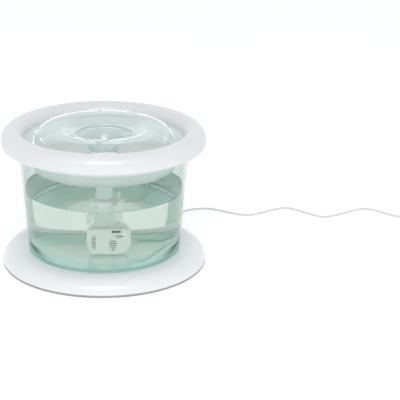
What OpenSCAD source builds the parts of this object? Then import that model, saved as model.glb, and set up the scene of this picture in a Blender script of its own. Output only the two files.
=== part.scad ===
// Pet water fountain. A clear tapered tank stands in a wide rounded base. A small pump on the
// tank floor lifts water through a riser into the crater of a hollow bubble dome. The water
// runs over the dome into a drinking channel, and back through a filter pan into the tank.
// Millimetres, +Z up, origin at the centre of the face that the fountain rests on.

/* [Tank] */
// Outer radius of the tank at its foot
tank_foot_r = 97.3; // [92:0.1:100]
// Outer radius of the tank at its rim
tank_rim_r = 108.4; // [106:0.1:112]
// Height of the tank from its seat to its rim
tank_h = 134; // [125:1:160]
// Thickness of the tank wall
tank_wall = 2.4; // [1.6:0.1:3]
// Thickness of the tank floor
tank_floor = 2.6; // [2:0.1:4]
// Height of the ring foot under the tank floor
foot_h = 2.6; // [2:0.1:4]
// Radius of the fillet between the tank floor and its wall
floor_fillet = 3; // [2:0.5:8]

/* [Base] */
// How far the base reaches past the foot of the tank
base_reach = 34; // [30:0.5:45]
// Height of the crown of the base
base_h = 20.4; // [19:0.1:26]
// Height of the ledge that the tank stands on
seat_h = 16; // [14:0.5:17]
// Thickness of the base shell
base_wall = 2.4; // [1.8:0.1:3]
// Inner radius of the ledge
ledge_r = 50; // [44:1:60]
// Thickness of the ribs under the base
base_rib = 1.8; // [1.2:0.1:3]
// Height of the soft grip ring that shows under the base
grip_h = 3.2; // [2:0.1:5]
// Width of the soft grip ring
grip_w = 5.4; // [4.5:0.1:9]

/* [Rim ring] */
// Half the width of the rounded rim ring
ring_half_w = 14.6; // [13:0.1:18]
// Half the height of the full section that the rim ring is cut from
ring_half_h = 16.1; // [13:0.1:19]
// How far the middle of the rim ring lies outside the tank rim
ring_out = 7; // [6:0.1:10]
// How far the middle of the rim ring lies above the tank rim
ring_up = 13.4; // [12:0.1:16]
// Thickness of the rim ring
ring_wall = 2.2; // [1.6:0.1:3]
// Thickness of the soft seal on the tank rim
seal_t = 2; // [1.5:0.1:3]
// How far the skirt round the seal reaches down over the tank rim
skirt_d = 0.5; // [0.5:0.5:8]

/* [Bowl tray] */
// Depth of the drinking channel floor under the tank rim
channel_drop = 1; // [0:0.5:4]
// How much the channel wall leans in from its rim to its floor
channel_draft = 2.3; // [1:0.1:3]
// Width of the drinking channel at its floor
channel_w = 8.9; // [8:0.1:16]
// Depth of the filter pan under the channel floor
pan_depth = 20; // [16:0.5:26]
// Thickness of the tray walls
tray_wall = 2.1; // [1.6:0.1:2.6]
// Width of one drain slot in the pan floor
drain_w = 3; // [1.5:0.1:4]
// Width of one water notch under the dome
water_notch_w = 8; // [5:0.5:10]
// Thickness of the charcoal pad
charcoal_t = 3; // [2:0.5:5]
// Thickness of the fleece pad
fleece_t = 5; // [3:0.5:7]

/* [Bubble dome] */
// Height of the dome from its foot to its crown
dome_h = 31; // [27:0.5:40]
// How far the dome wall stands out over the pan wall
dome_step = 0.5; // [0:0.1:1]
// Radius where the outer shoulder of the dome reaches its crown
crown_out_r = 70; // [64:1:76]
// Radius where the crown starts to fall into the crater
crown_in_r = 60; // [50:1:66]
// Radius of the lip above the cup of the crater
cup_r = 34; // [30:1:40]
// Depth of that lip under the crown
cup_drop = 10; // [5:0.1:11]
// Thickness of the dome wall
dome_wall = 2; // [1.5:0.1:2.5]
// Bore radius of the tube under the crater
throat_r = 14; // [13:0.5:15]
// Number of water notches round the foot of the dome
notch_count = 16; // [8:1:24]

/* [Riser] */
// Outer radius of the riser tube
riser_r = 10; // [9:0.5:11]
// Bore radius of the riser tube
riser_bore = 8; // [6.5:0.5:8]
// Outer radius of the duct round the riser
duct_r = 17.4; // [17:0.1:20]
// Thickness of the duct wall
duct_wall = 1.6; // [1.2:0.1:2]
// Bore radius of the jet at the top of the riser
jet_bore = 3.4; // [2.5:0.1:4]
// Height of the jet above the head of the riser
jet_h = 13.2; // [10:0.1:15]

/* [Pump] */
// Width of the intake cover
pump_w = 43; // [42:1:48]
// Width of the motor housing
motor_w = 34; // [34:1:40]
// Height of the pump
pump_h = 34; // [33:1:42]
// Depth of the motor housing behind the volute plate
motor_d = 32; // [31:1:40]
// Depth of the intake cover
cover_d = 12; // [12:0.5:16]
// How far the pump stands off the tank floor on its suction cups
pump_lift = 2.6; // [2:0.1:4]
// Sideways offset of the pump from the riser
pump_x = 4; // [2:0.5:5]
// Width of the two chamfers at the foot of the intake cover
cover_bevel_w = 4.5; // [3:0.5:6]
// Height of those chamfers
cover_bevel_h = 11; // [6:0.5:12]
// Wall thickness of the intake cover
cover_wall = 1.6; // [1.2:0.1:2]
// Outer radius of the outlet nipple
nipple_r = 6; // [5.5:0.1:6.5]
// Height of the outlet nipple
nipple_h = 11; // [8:0.5:14]
// Radius of the impeller chamber
chamber_r = 12.5; // [12:0.1:13]
// Depth of the impeller chamber
chamber_d = 10; // [9:0.5:12]
// Radius of the magnet rotor
rotor_r = 6.6; // [5.5:0.1:7]
// Length of the magnet rotor
rotor_l = 12; // [10:0.5:12]
// Radius of the ceramic shaft
shaft_r = 1; // [0.8:0.1:1.2]
// Number of impeller blades
blade_count = 6; // [4:1:8]
// Height of one intake slot
slot_h = 1.4; // [1:0.1:1.6]
// Height from one intake slot to the next
slot_pitch = 3; // [2.4:0.1:3.2]
// Travel of the flow regulator
slider_travel = 4; // [3:0.5:5]

/* [Lead] */
// Radius of the low-voltage lead
lead_r = 1.4; // [1.3:0.05:1.5]
// Direction of the rim notch that the lead leaves through, turned back from the right
lead_turn = 50; // [45:1:55]
// Depth of the lead under the tank rim
lead_drop = 10.5; // [9:0.5:13]
// Mean radius of the lead's coil
coil_r = 16; // [15:0.5:17]
// Length of the mains adapter
adapter_l = 62; // [56:1:64]
// Width of the mains adapter
adapter_w = 36; // [32:1:42]
// Depth of the mains adapter behind its pins
adapter_d = 27; // [24:1:32]

/* [Hidden] */
$fn = 96;

// Gap between pieces that are assembled by hand
fit = 0.3;
// Radial gap of a running or sliding fit
run_fit = 0.05;
// A little extra length, so that a cut goes clean through
cut = 1;

// Heights of the stack
seat_z = seat_h;
floor_z = seat_z + foot_h + tank_floor;
rim_z = seat_z + tank_h;
seal_top_z = rim_z + seal_t;
ring_z = rim_z + ring_up;
flange_t = 2.3;
flange_rise = 1.1;
flange_top_z = ring_z + flange_rise;
channel_z = rim_z - channel_drop;
pan_top_z = channel_z - tray_wall;
pan_z = channel_z - pan_depth;
pan_floor_z = pan_z + tray_wall;
crown_z = channel_z + dome_h;
pump_z = floor_z + pump_lift;
pump_top_z = pump_z + pump_h;

// Radii of the stack
function tank_r(z) = tank_foot_r + (z - seat_z) * (tank_rim_r - tank_foot_r) / tank_h;
base_r = tank_foot_r + base_reach;
crown_base_r = tank_foot_r + 12.7;
recess_r = tank_r(base_h) + fit;
ring_r = tank_rim_r + ring_out;
// How far the seal reaches in past the tank wall, and the tray's flange out past the seal
seal_lap = 0.4;
flange_lap = 0.9;
seal_in_r = tank_rim_r - tank_wall - seal_lap;
collar_t = 2;
channel_out_r = seal_in_r - collar_t - fit;
channel_top_r = channel_out_r - tray_wall;
channel_foot_r = channel_top_r - channel_draft;
pan_r = channel_foot_r - channel_w;
flange_out_r = seal_in_r + flange_lap;
dome_r = pan_r + dome_step;
upstand_gap = 0.5;
upstand_r = dome_r - dome_wall - upstand_gap;
upstand_t = 1.6;
upstand_h = 4;

// Curves
function arc(c, a, b, from, to, n) =
    [for (i = [0:n]) let (t = from + (to - from) * i / n) [c[0] + a * cos(t), c[1] + b * sin(t)]];
function bezier(p, n) =
    [for (i = [0:n]) let (t = i / n, s = 1 - t)
        s * s * s * p[0] + 3 * s * s * t * p[1] + 3 * s * t * t * p[2] + t * t * t * p[3]];
function reversed(p) = [for (i = [len(p) - 1:-1:0]) p[i]];
// A profile moved sideways by d, to the left of its own direction
function beside(p, d) =
    [for (i = [0:len(p) - 1])
        let (run = p[min(i + 1, len(p) - 1)] - p[max(i - 1, 0)])
            p[i] + d * [-run[1], run[0]] / norm(run)];

// Revolves a profile through part of a turn that starts at from
module sector(from, to) {
    rotate([0, 0, from]) rotate_extrude(angle = to - from) children();
}

// A profile drawn in X and Z, given depth from y0 to y1
module along_y(y0, y1) {
    translate([0, y1, 0]) rotate([90, 0, 0]) linear_extrude(y1 - y0) children();
}

// A cylinder along +Y from y0 to y1
module rod_y(r, y0, y1) {
    translate([0, y0, 0]) rotate([-90, 0, 0]) cylinder(r = r, h = y1 - y0);
}

// A cylinder along +X from x0 to x1
module rod_x(r, x0, x1) {
    translate([x0, 0, 0]) rotate([0, 90, 0]) cylinder(r = r, h = x1 - x0);
}

// ---------- Base ----------

// Bayonet slots in the ledge, and the tank hooks that lock in them
lock_count = 4;
lock_from = 34;
lock_entry = 11;
lock_run = 11;
hook_t = 2.4;
hook_r = tank_foot_r - tank_wall - 4.5;
hook_toe = 2.6;

function base_curve(inset) =
    arc([crown_base_r, grip_h], base_r - crown_base_r - inset, base_h - grip_h - inset, 0, 90, 16);

module base_section() {
    wall_r = recess_r + base_wall;
    skirt_z = seat_z - 4.5;
    top_in = base_h - 1.3;
    polygon(concat(
        base_curve(0),
        [[recess_r, top_in], [recess_r, seat_z], [ledge_r, seat_z], [ledge_r, skirt_z],
         [ledge_r + base_wall, skirt_z], [ledge_r + base_wall, seat_z - base_wall],
         [wall_r, seat_z - base_wall], [wall_r, top_in - base_wall]],
        reversed(base_curve(base_wall))));
}

module base_rib_section() {
    low = grip_h + tongue_h + 0.4;
    skin = base_wall / 2;
    polygon(concat(
        [[ledge_r + skin, seat_z - 4], [recess_r, low], [base_r - base_wall - 3.2, low]],
        [for (p = base_curve(skin)) if (p[1] > low + 1.5) p],
        [[recess_r + skin, seat_z - skin], [ledge_r + skin, seat_z - skin]]));
}

module base_ring() {
    color("whitesmoke")
    difference() {
        union() {
            rotate_extrude($fn = 180) base_section();
            for (i = [0:11])
                rotate([0, 0, 30 * i]) along_y(-base_rib / 2, base_rib / 2) base_rib_section();
        }
        for (i = [0:lock_count - 1])
            rotate([0, 0, 360 / lock_count * i]) {
                sector(lock_from, lock_from + lock_entry)
                    translate([hook_r - 1.5, seat_z - 2 * base_wall])
                        square([hook_t + hook_toe + 3, 3 * base_wall]);
                sector(lock_from, lock_from + lock_entry + lock_run)
                    translate([hook_r - 1.5, seat_z - 2 * base_wall])
                        square([hook_t + 2.5, 3 * base_wall]);
            }
    }
}

// Height of the grip ring's tongue inside the shell
tongue_h = 3;

// Soft ring that the base stands on
module grip_ring() {
    shell_w = base_r - base_wall - crown_base_r;
    shell_h = base_h - base_wall - grip_h;
    // Inner face of the shell at the height of the tongue's tip
    tip_r = crown_base_r + shell_w * sqrt(1 - pow(tongue_h / shell_h, 2));
    tongue_r = tip_r - 0.1;
    color("silver")
    rotate_extrude($fn = 180)
        polygon([[base_r - grip_w, 0], [base_r - 0.8, 0], [base_r, 0.8], [base_r, grip_h],
                 [tongue_r, grip_h], [tongue_r, grip_h + tongue_h],
                 [base_r - grip_w, grip_h + tongue_h]]);
}

// ---------- Tank ----------

lead_z = rim_z - lead_drop;
notch_w = 9;

module reservoir() {
    floor_r = tank_r(floor_z) - tank_wall;
    underside_z = seat_z + foot_h;
    hook_from = lock_from + lock_entry + 1.2;
    color("lightseagreen", 0.35)
    difference() {
        union() {
            rotate_extrude($fn = 180)
                polygon(concat(
                    [[tank_foot_r, seat_z], [tank_rim_r, rim_z], [tank_rim_r - tank_wall, rim_z],
                     [tank_r(floor_z + floor_fillet) - tank_wall, floor_z + floor_fillet]],
                    arc([floor_r - floor_fillet, floor_z + floor_fillet],
                        floor_fillet, floor_fillet, -15, -90, 6),
                    [[0, floor_z], [0, underside_z], [tank_foot_r - tank_wall, underside_z],
                     [tank_foot_r - tank_wall, seat_z]]));
            for (i = [0:lock_count - 1])
                rotate([0, 0, 360 / lock_count * i])
                    sector(hook_from, hook_from + lock_run - 2)
                        polygon([[hook_r, underside_z + 1], [hook_r, seat_z - base_wall - 2.4],
                                 [hook_r + hook_t + hook_toe - 1, seat_z - base_wall - 2.4],
                                 [hook_r + hook_t + hook_toe, seat_z - base_wall - 1.4],
                                 [hook_r + hook_t + hook_toe, seat_z - base_wall - 0.2],
                                 [hook_r + hook_t, seat_z - base_wall - 0.2],
                                 [hook_r + hook_t, underside_z + 1]]);
        }
        // Notch in the rim for the lead
        rotate([0, 0, lead_turn]) {
            translate([0, 0, lead_z]) rod_x(notch_w / 2, tank_foot_r - 8, tank_rim_r + cut);
            translate([tank_foot_r - 8, -notch_w / 2, lead_z])
                cube([tank_rim_r - tank_foot_r + 9, notch_w, lead_drop + cut]);
        }
    }
}

// Rubber grommet that fills the rim notch and holds the lead
grommet_core_r = notch_w / 2 - 0.1;
grommet_r = grommet_core_r + 1;
grommet_flange = 1.2;
grommet_in = tank_r(lead_z - grommet_r) - tank_wall - fit;
grommet_out = tank_r(lead_z + grommet_r) + fit;

module rim_grommet() {
    color("gainsboro")
    rotate([0, 0, lead_turn]) {
        translate([0, 0, lead_z]) {
            rod_x(grommet_core_r, grommet_in, grommet_out);
            rod_x(grommet_r, grommet_in - grommet_flange, grommet_in);
            rod_x(grommet_r, grommet_out, grommet_out + grommet_flange);
        }
        translate([grommet_in, -grommet_core_r, lead_z])
            cube([grommet_out - grommet_in, 2 * grommet_core_r, lead_drop - channel_drop - fit]);
    }
}

// ---------- Lid: rim ring ----------

// Outer and inner ends of the rim ring's rounded section, in degrees
ring_from = -20;
ring_to = 175;

function ring_curve(inset, from, to) =
    arc([ring_r, ring_z], ring_half_w - inset, ring_half_h - inset, from, to, 26);
// Top of the plate that closes the rim ring from below
plate_t = 2.3;
plate_out_r = ring_r + (ring_half_w - ring_wall) * cos(ring_from) - 0.3;
plate_out_z = ring_z + ring_half_h * sin(ring_from) + 0.3;
skirt_in_r = tank_rim_r + 1.3;
skirt_out_r = skirt_in_r + 2;

module ring_upper() {
    skin = ring_wall / 2;
    color("whitesmoke") {
        rotate_extrude($fn = 180)
            polygon(concat(ring_curve(0, ring_from, ring_to),
                           reversed(ring_curve(ring_wall, ring_from, ring_to))));
        for (i = [0:11])
            rotate([0, 0, 30 * i + 15])
                along_y(-0.9, 0.9)
                    polygon(concat(
                        [[flange_out_r + 0.8, plate_top(flange_out_r + 0.8)],
                         [plate_out_r - 1, plate_top(plate_out_r - 1)]],
                        ring_curve(skin, 0, 120)));
    }
}

// Height of the plate's upper face at radius r
function plate_top(r) =
    seal_top_z + plate_t
    + max(0, r - skirt_out_r) * (plate_out_z - seal_top_z) / (plate_out_r - skirt_out_r);

module ring_lower() {
    color("white")
    rotate_extrude($fn = 180)
        polygon([
            [seal_in_r - collar_t, channel_z],
            [seal_in_r, channel_z],
            [seal_in_r, seal_top_z],
            [skirt_in_r, seal_top_z],
            [skirt_in_r, rim_z - skirt_d],
            [skirt_out_r, rim_z - skirt_d],
            [skirt_out_r, seal_top_z],
            [plate_out_r, plate_out_z],
            [plate_out_r, plate_out_z + plate_t],
            [skirt_out_r, seal_top_z + plate_t],
            [seal_in_r, seal_top_z + plate_t],
            [seal_in_r, flange_top_z - flange_t],
            [seal_in_r - collar_t, flange_top_z - flange_t]]);
}

module rim_seal() {
    color("lightgray")
    rotate_extrude($fn = 180)
        translate([seal_in_r + 0.2, rim_z]) square([skirt_in_r - seal_in_r - 0.5, seal_t]);
}

// ---------- Lid: bowl tray and filter pan ----------

spigot_h = 3;

// Drinking channel, with an upstand for the dome and a spigot that the filter pan snaps onto
module bowl_tray() {
    spigot_r = pan_r - tray_wall - fit;
    upstand_in_r = upstand_r - upstand_t;
    color("lightcyan", 0.4)
    difference() {
        rotate_extrude($fn = 180)
            polygon([
                [channel_top_r, flange_top_z], [flange_out_r, flange_top_z],
                [flange_out_r, flange_top_z - flange_t], [channel_out_r, flange_top_z - flange_t],
                [channel_foot_r + tray_wall, pan_top_z], [spigot_r, pan_top_z],
                [spigot_r, pan_top_z - spigot_h], [upstand_in_r, pan_top_z - spigot_h],
                [upstand_in_r, channel_z + upstand_h], [upstand_r, channel_z + upstand_h],
                [upstand_r, channel_z], [channel_foot_r, channel_z]]);
        // Water notches through the upstand
        water_notches(upstand_in_r - cut, channel_z + 0.01, upstand_h + cut);
    }
}

collar_bore_r = duct_r - duct_wall - 0.9;
drain_count = 24;
// Solid rims that the drain slots leave round the duct and inside the pan wall
drain_hub = 10;
drain_rim = 12;

module filter_pan() {
    collar_h = 2.8;
    color("lightcyan", 0.4)
    difference() {
        rotate_extrude($fn = 180)
            polygon([
                [pan_r, pan_top_z], [pan_r, pan_z], [collar_bore_r, pan_z],
                [collar_bore_r, pan_floor_z + collar_h], [duct_r, pan_floor_z + collar_h],
                [duct_r, pan_floor_z], [pan_r - tray_wall, pan_floor_z],
                [pan_r - tray_wall, pan_top_z]]);
        // Drain slots in the pan floor
        for (i = [0:drain_count - 1])
            rotate([0, 0, 360 / drain_count * i])
                translate([duct_r + drain_hub, -drain_w / 2, pan_z - cut])
                    cube([pan_r - duct_r - drain_hub - drain_rim, drain_w, tray_wall + 2 * cut]);
    }
}

notch_reach = 8;

// Notches that let the channel drain under the foot of the dome
module water_notches(r, z, h) {
    for (i = [0:notch_count - 1])
        rotate([0, 0, 360 / notch_count * i])
            translate([r, -water_notch_w / 2, z]) cube([notch_reach, water_notch_w, h]);
}

module pan_pad(z, t, tone) {
    pad_in = duct_r + fit;
    color(tone)
    translate([0, 0, z])
        difference() {
            cylinder(r = pan_r - tray_wall - fit, h = t);
            translate([0, 0, -cut]) cylinder(r = pad_in, h = t + 2 * cut);
        }
}

module charcoal_pad() {
    pan_pad(pan_floor_z, charcoal_t, "dimgray");
}

module fleece_pad() {
    pan_pad(pan_floor_z + charcoal_t, fleece_t, "white");
}

// ---------- Lid: riser and duct ----------

riser_z = pump_top_z + 0.6;
head_z = pan_floor_z + 2.8;
head_r = throat_r - fit;
head_h = 18;
head_top_z = head_z + head_h;
seal_groove_z = head_z + 6.5;
seal_section = 2.2;

module return_duct() {
    duct_z = pump_top_z + 2.4;
    color("paleturquoise", 0.4)
    difference() {
        union() {
            translate([0, 0, duct_z]) cylinder(r = duct_r, h = pan_z - duct_z);
            translate([0, 0, pan_z - 2.2]) cylinder(r = duct_r + 4.5, h = 2.2);
        }
        translate([0, 0, duct_z - cut])
            cylinder(r = duct_r - duct_wall, h = pan_z - duct_z + 2 * cut);
        // Three round notches at the back of the foot let the returning water out
        for (i = [-1:1])
            rotate([0, 0, 90 + 45 * i])
                translate([0, 0, duct_z]) rod_x(3, duct_r - duct_wall - cut, duct_r + cut);
    }
}

module riser_tube() {
    color("lightblue", 0.4)
    difference() {
        union() {
            translate([0, 0, riser_z]) cylinder(r = riser_r, h = head_z - riser_z + 1);
            translate([0, 0, head_z]) cylinder(r = duct_r - 0.9, h = 2);
            translate([0, 0, head_z]) cylinder(r = head_r, h = head_h);
        }
        translate([0, 0, riser_z - cut]) cylinder(r = nipple_r + run_fit, h = nipple_h + 1.2 + cut);
        translate([0, 0, riser_z]) cylinder(r = riser_bore, h = head_top_z - riser_z + cut);
        // Groove for the seal ring
        translate([0, 0, seal_groove_z])
            difference() {
                cylinder(r = head_r + cut, h = seal_section);
                translate([0, 0, -cut]) cylinder(r = head_r - 1.5, h = seal_section + 2 * cut);
            }
    }
}

module riser_seal() {
    color("black")
    rotate_extrude()
        translate([head_r - 1.5, seal_groove_z])
            square([throat_r - run_fit - head_r + 1.5, seal_section]);
}

// Small jet that the water leaves by, in the middle of the crater
module jet() {
    foot_t = 2;
    color("white")
    translate([0, 0, head_top_z])
        difference() {
            union() {
                cylinder(r = head_r - 0.2, h = foot_t);
                cylinder(r1 = jet_bore + 2.6, r2 = jet_bore + 1.2, h = jet_h);
                translate([0, 0, -4]) cylinder(r = riser_bore, h = 4);
                for (i = [0:5])
                    rotate([0, 0, 60 * i])
                        along_y(-0.5, 0.5)
                            polygon([[jet_bore + 1, foot_t - 0.1], [head_r - 0.9, foot_t - 0.1],
                                     [jet_bore + 1, jet_h - 4]]);
            }
            translate([0, 0, -4 - cut]) cylinder(r = jet_bore, h = jet_h + 4 + 2 * cut);
        }
}

// ---------- Dome ----------

cup_z = crown_z - cup_drop;
// Seat in the dome for the flange of the spout cup
flange_w = 2;
seat_d = 1;

// The wetted face of the dome, from its foot over the crown to the seat of the spout cup
function dome_face() =
    concat(
        [[dome_r, channel_z], [dome_r, channel_z + 4]],
        bezier([[dome_r, channel_z + 7], [dome_r + 0.5, crown_z - 12],
                [crown_out_r + 14, crown_z], [crown_out_r, crown_z]], 16),
        bezier([[crown_in_r, crown_z], [crown_in_r - 9, crown_z],
                [cup_r + flange_w + 9, cup_z + 2.3], [cup_r + flange_w, cup_z + 0.4]], 12));

module dome() {
    face = dome_face();
    lip_z = cup_z - seat_d;
    inner = [for (p = beside(face, dome_wall)) if (p[0] > cup_r + flange_w + dome_wall) p];
    color("azure", 0.4)
    difference() {
        rotate_extrude($fn = 180)
            polygon(concat(
                face,
                [[cup_r + flange_w, lip_z], [cup_r, lip_z], [cup_r, lip_z - dome_wall],
                 [cup_r + flange_w, lip_z - dome_wall]],
                reversed(inner)));
        water_notches(dome_r - dome_wall - 2, channel_z - cut, 3 + cut);
    }
}

// Funnel in the middle of the crater, which hangs in the dome by its flange
module spout_cup() {
    throat_z = head_z + 9.5;
    lip_z = cup_z - seat_d;
    face = concat(
        bezier([[cup_r - 1.2, cup_z - 0.4], [cup_r - 7, cup_z - 2.2],
                [throat_r + 8.5, cup_z - 6.5], [throat_r + 6.5, cup_z - 11]], 12),
        [[throat_r + 4, throat_z + 10.5], [throat_r, throat_z], [throat_r, head_z + 2.3]]);
    inner = [for (p = beside(face, dome_wall)) if (p[0] < cup_r - dome_wall) p];
    color("azure", 0.4)
    rotate_extrude($fn = 180)
        polygon(concat(
            [[cup_r + flange_w - fit, cup_z], [cup_r + flange_w - 1, cup_z + 0.5],
             [cup_r + 0.4, cup_z + 0.4]],
            face, reversed(inner),
            [[cup_r - fit, lip_z - 1.2], [cup_r - fit, lip_z],
             [cup_r + flange_w - fit, lip_z]]));
}

// ---------- Pump ----------

pump_corner = 5;
plate_y = -9;
cover_y = plate_y - cover_d;
axis_z = pump_z + pump_h / 2;
volute_plate_t = 2;
chamber_y = plate_y + volute_plate_t;
well_y = chamber_y + chamber_d;
well_r = rotor_r + 0.6;
bush_r = 3.4;
bush_l = 3;
rotor_y = well_y + 1;
rear_y = rotor_y + rotor_l + 1;
bush_front_r = 2;

// Outline of a pump part seen from the front, its foot on z = 0: w wide, with two bevels at
// its foot and two rounded corners of radius r, drawn in by inset
function pump_outline(w, bevel_w, bevel_h, r, inset) =
    let (half = w / 2,
         slant = norm([bevel_w, bevel_h]),
         side_z = bevel_h + inset * (slant - bevel_h) / bevel_w,
         foot_x = half - bevel_w - inset * (slant - bevel_w) / bevel_h,
         top = pump_h - inset,
         round = max(r - inset, 0.6),
         mid = half - inset - round)
    concat(
        [[inset - half, side_z], [-foot_x, inset], [foot_x, inset], [half - inset, side_z]],
        arc([mid, top - round], round, round, 0, 90, 6),
        arc([-mid, top - round], round, round, 90, 180, 6));

module cover_section(inset) {
    translate([pump_x, pump_z])
        polygon(pump_outline(pump_w, cover_bevel_w, cover_bevel_h, pump_corner, inset));
}

module motor_section(inset) {
    translate([pump_x, pump_z]) polygon(pump_outline(motor_w, 4, 5, 9, inset));
}

// Moves to the impeller's axis
module on_axis() {
    translate([pump_x, 0, axis_z]) children();
}

collar_d = 2.5;
cup_spots = [for (x = [-8.5, 8.5], y = [-0.5, motor_d - 18]) [pump_x + x, y]];
cup_pocket = 4;
gland_y = 4;
gland_z = pump_z + 10.5;
gland_r = 3.4;
side_x = pump_x + motor_w / 2;

module pump_housing() {
    color("gainsboro")
    difference() {
        union() {
            along_y(plate_y, plate_y + collar_d) cover_section(0);
            along_y(plate_y + collar_d, plate_y + motor_d - 1.2) motor_section(0);
            along_y(plate_y + motor_d - 1.2, plate_y + motor_d) motor_section(1.2);
            // Spigot that the intake cover snaps over
            along_y(plate_y - 3, plate_y)
                difference() {
                    cover_section(cover_wall + 0.2);
                    cover_section(cover_wall + 1.8);
                }
            translate([0, 0, pump_top_z - 1]) cylinder(r = nipple_r, h = nipple_h + 1);
        }
        on_axis() {
            rod_y(chamber_r + 2.5, plate_y - cut, chamber_y);
            rod_y(chamber_r, plate_y, well_y);
            rod_y(well_r, well_y - cut, rear_y);
            rod_y(bush_r, rear_y - cut, rear_y + bush_l);
        }
        // Outlet, from the chamber up through the nipple
        translate([0, 0, axis_z]) cylinder(r = nipple_r - 1.6, h = pump_h);
        for (p = cup_spots)
            translate([p[0], p[1], pump_z - cut]) cylinder(r = 2.45, h = cup_pocket + cut);
        translate([0, gland_y, gland_z]) rod_x(gland_r + 0.05, side_x - 4, side_x + cut);
    }
}

// Intake slots, each [x, z, width], with x from the middle of the pump and z from its foot
left_slots = [for (i = [0:5])
    let (w = 4.8 - 0.6 * abs(i - 2.7))
        [-13 - w, pump_h - 10.7 - slot_pitch * i, w]];
right_slots = [for (i = [0:4])
    let (w = 9 - 2.2 * abs(i - 1.2))
        [4.2 - w / 2, pump_h - 16.9 - slot_pitch * i, w]];
// Finger hole that the cover is pulled off by
finger_w = 9;
finger_h = 3.4;
slider_z = pump_z + pump_h - 9.6;
slider_x = pump_x + 9.2;
slider_slot_h = 1.8;
stem_w = 2;

module intake_cover() {
    panel = 1;
    color("whitesmoke")
    difference() {
        union() {
            along_y(cover_y + panel, plate_y) cover_section(0);
            along_y(cover_y, cover_y + panel) cover_section(1);
        }
        along_y(cover_y + panel + cover_wall, plate_y + cut) cover_section(cover_wall);
        for (s = concat(left_slots, right_slots))
            translate([pump_x + s[0], cover_y - cut, pump_z + s[1]])
                cube([s[2], panel + cover_wall + 2 * cut, slot_h]);
        translate([pump_x + 3, cover_y - cut, pump_top_z - finger_h - cover_wall])
            cube([finger_w, panel + cover_wall + 2 * cut, finger_h]);
        // Slot that the flow regulator runs in
        translate([slider_x - stem_w / 2 - 0.1, cover_y - cut, slider_z - slider_slot_h / 2])
            cube([slider_travel + stem_w + 0.2, panel + cover_wall + 2 * cut, slider_slot_h]);
    }
}

// Flow regulator: a thumb piece outside, a stem, and a shutter behind the slots
module flow_slider() {
    inside_y = cover_y + 1 + cover_wall + 0.2;
    color("lightgray")
    translate([slider_x, 0, slider_z]) {
        translate([-1.7, cover_y - 1.5, -1.5]) cube([3.4, 1.3, 3]);
        translate([-stem_w / 2, cover_y - 0.5, -slider_slot_h / 2 + 0.1])
            cube([stem_w, inside_y - cover_y + 1, slider_slot_h - 0.2]);
        translate([-3.4, inside_y, -1.7]) cube([6, 1, 3.4]);
    }
}

module intake_foam() {
    color("dimgray")
    along_y(cover_y + cover_wall + 2.6, plate_y - 3.3) cover_section(cover_wall + 0.3);
}

// Plate in front of the impeller, with an inlet and three spokes
module volute_plate() {
    color("whitesmoke")
    on_axis()
        difference() {
            rod_y(chamber_r + 2.4, plate_y, chamber_y);
            difference() {
                rod_y(6.5, plate_y - cut, chamber_y + cut);
                rod_y(3.4, plate_y - 2 * cut, chamber_y + 2 * cut);
                for (i = [0:2])
                    rotate([0, 120 * i, 0])
                        translate([0, plate_y - 2 * cut, -0.8]) cube([8, volute_plate_t + 4, 1.6]);
            }
            rod_y(bush_front_r, plate_y - cut, chamber_y + cut);
        }
}

module bush(r, y0, y1) {
    color("black")
    on_axis()
        difference() {
            rod_y(r, y0, y1);
            rod_y(shaft_r, y0 - cut, y1 + cut);
        }
}

module front_bush() {
    bush(bush_front_r, plate_y, chamber_y + 0.6);
}

module rear_bush() {
    bush(bush_r, rear_y, rear_y + bush_l);
}

module pump_shaft() {
    color("white")
    on_axis() rod_y(shaft_r, plate_y, rear_y + bush_l);
}

// Impeller: a hub with a back plate and straight blades
module impeller() {
    blade_y = chamber_y + 1.6;
    disc_y = well_y - 2.6;
    color("deepskyblue")
    on_axis()
        difference() {
            union() {
                rod_y(4, blade_y - 0.4, rotor_y);
                rod_y(chamber_r - 1.3, disc_y, disc_y + 1.4);
                for (i = [0:blade_count - 1])
                    rotate([0, 360 / blade_count * i, 0])
                        translate([3, blade_y, -0.6])
                            cube([chamber_r - 4.4, disc_y - blade_y + 0.1, 1.2]);
            }
            rod_y(shaft_r + run_fit, blade_y - cut, rotor_y + cut);
        }
}

module rotor_magnet() {
    color("dimgray")
    on_axis()
        difference() {
            rod_y(rotor_r, rotor_y, rotor_y + rotor_l);
            rod_y(shaft_r + run_fit, rotor_y - cut, rotor_y + rotor_l + cut);
        }
}

module suction_cups() {
    color("lightgray")
    for (p = cup_spots)
        translate([p[0], p[1], floor_z]) {
            rotate_extrude()
                polygon([[0, 0.9], [4.4, 0], [5.6, 0], [5.2, 0.8], [3.4, 1.7], [2.4, pump_lift],
                         [0, pump_lift]]);
            translate([0, 0, 1.2]) cylinder(r = 2.4, h = pump_lift - 1.2 + cup_pocket);
        }
}

// Soft strain relief where the lead leaves the pump
gland_l = 8;

module pump_gland() {
    color("gainsboro")
    translate([0, gland_y, gland_z]) {
        rod_x(gland_r, side_x - 4, side_x);
        rod_x(gland_r + 1, side_x, side_x + 1.5);
        translate([side_x + 1.5, 0, 0])
            rotate([0, 90, 0]) cylinder(r1 = gland_r, r2 = lead_r + 0.5, h = gland_l);
    }
}

// ---------- Lead ----------

// A point at radius r and height z, in the direction of the rim notch
function on_turn(r, z) = [r * cos(lead_turn), r * sin(lead_turn), z];

// Where the lead meets the tank floor's edge, and the radius that it climbs to the rim at
floor_turn_z = floor_z + 7.3;
floor_turn = on_turn(tank_r(floor_turn_z) - tank_wall - 6.4, floor_turn_z);
climb_r = pan_r + 5.4;
gland_tip = [side_x + 1.5 + gland_l, gland_y, gland_z];
notch_in_r = grommet_in - grommet_flange;
notch_out_r = grommet_out + grommet_flange;

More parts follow.
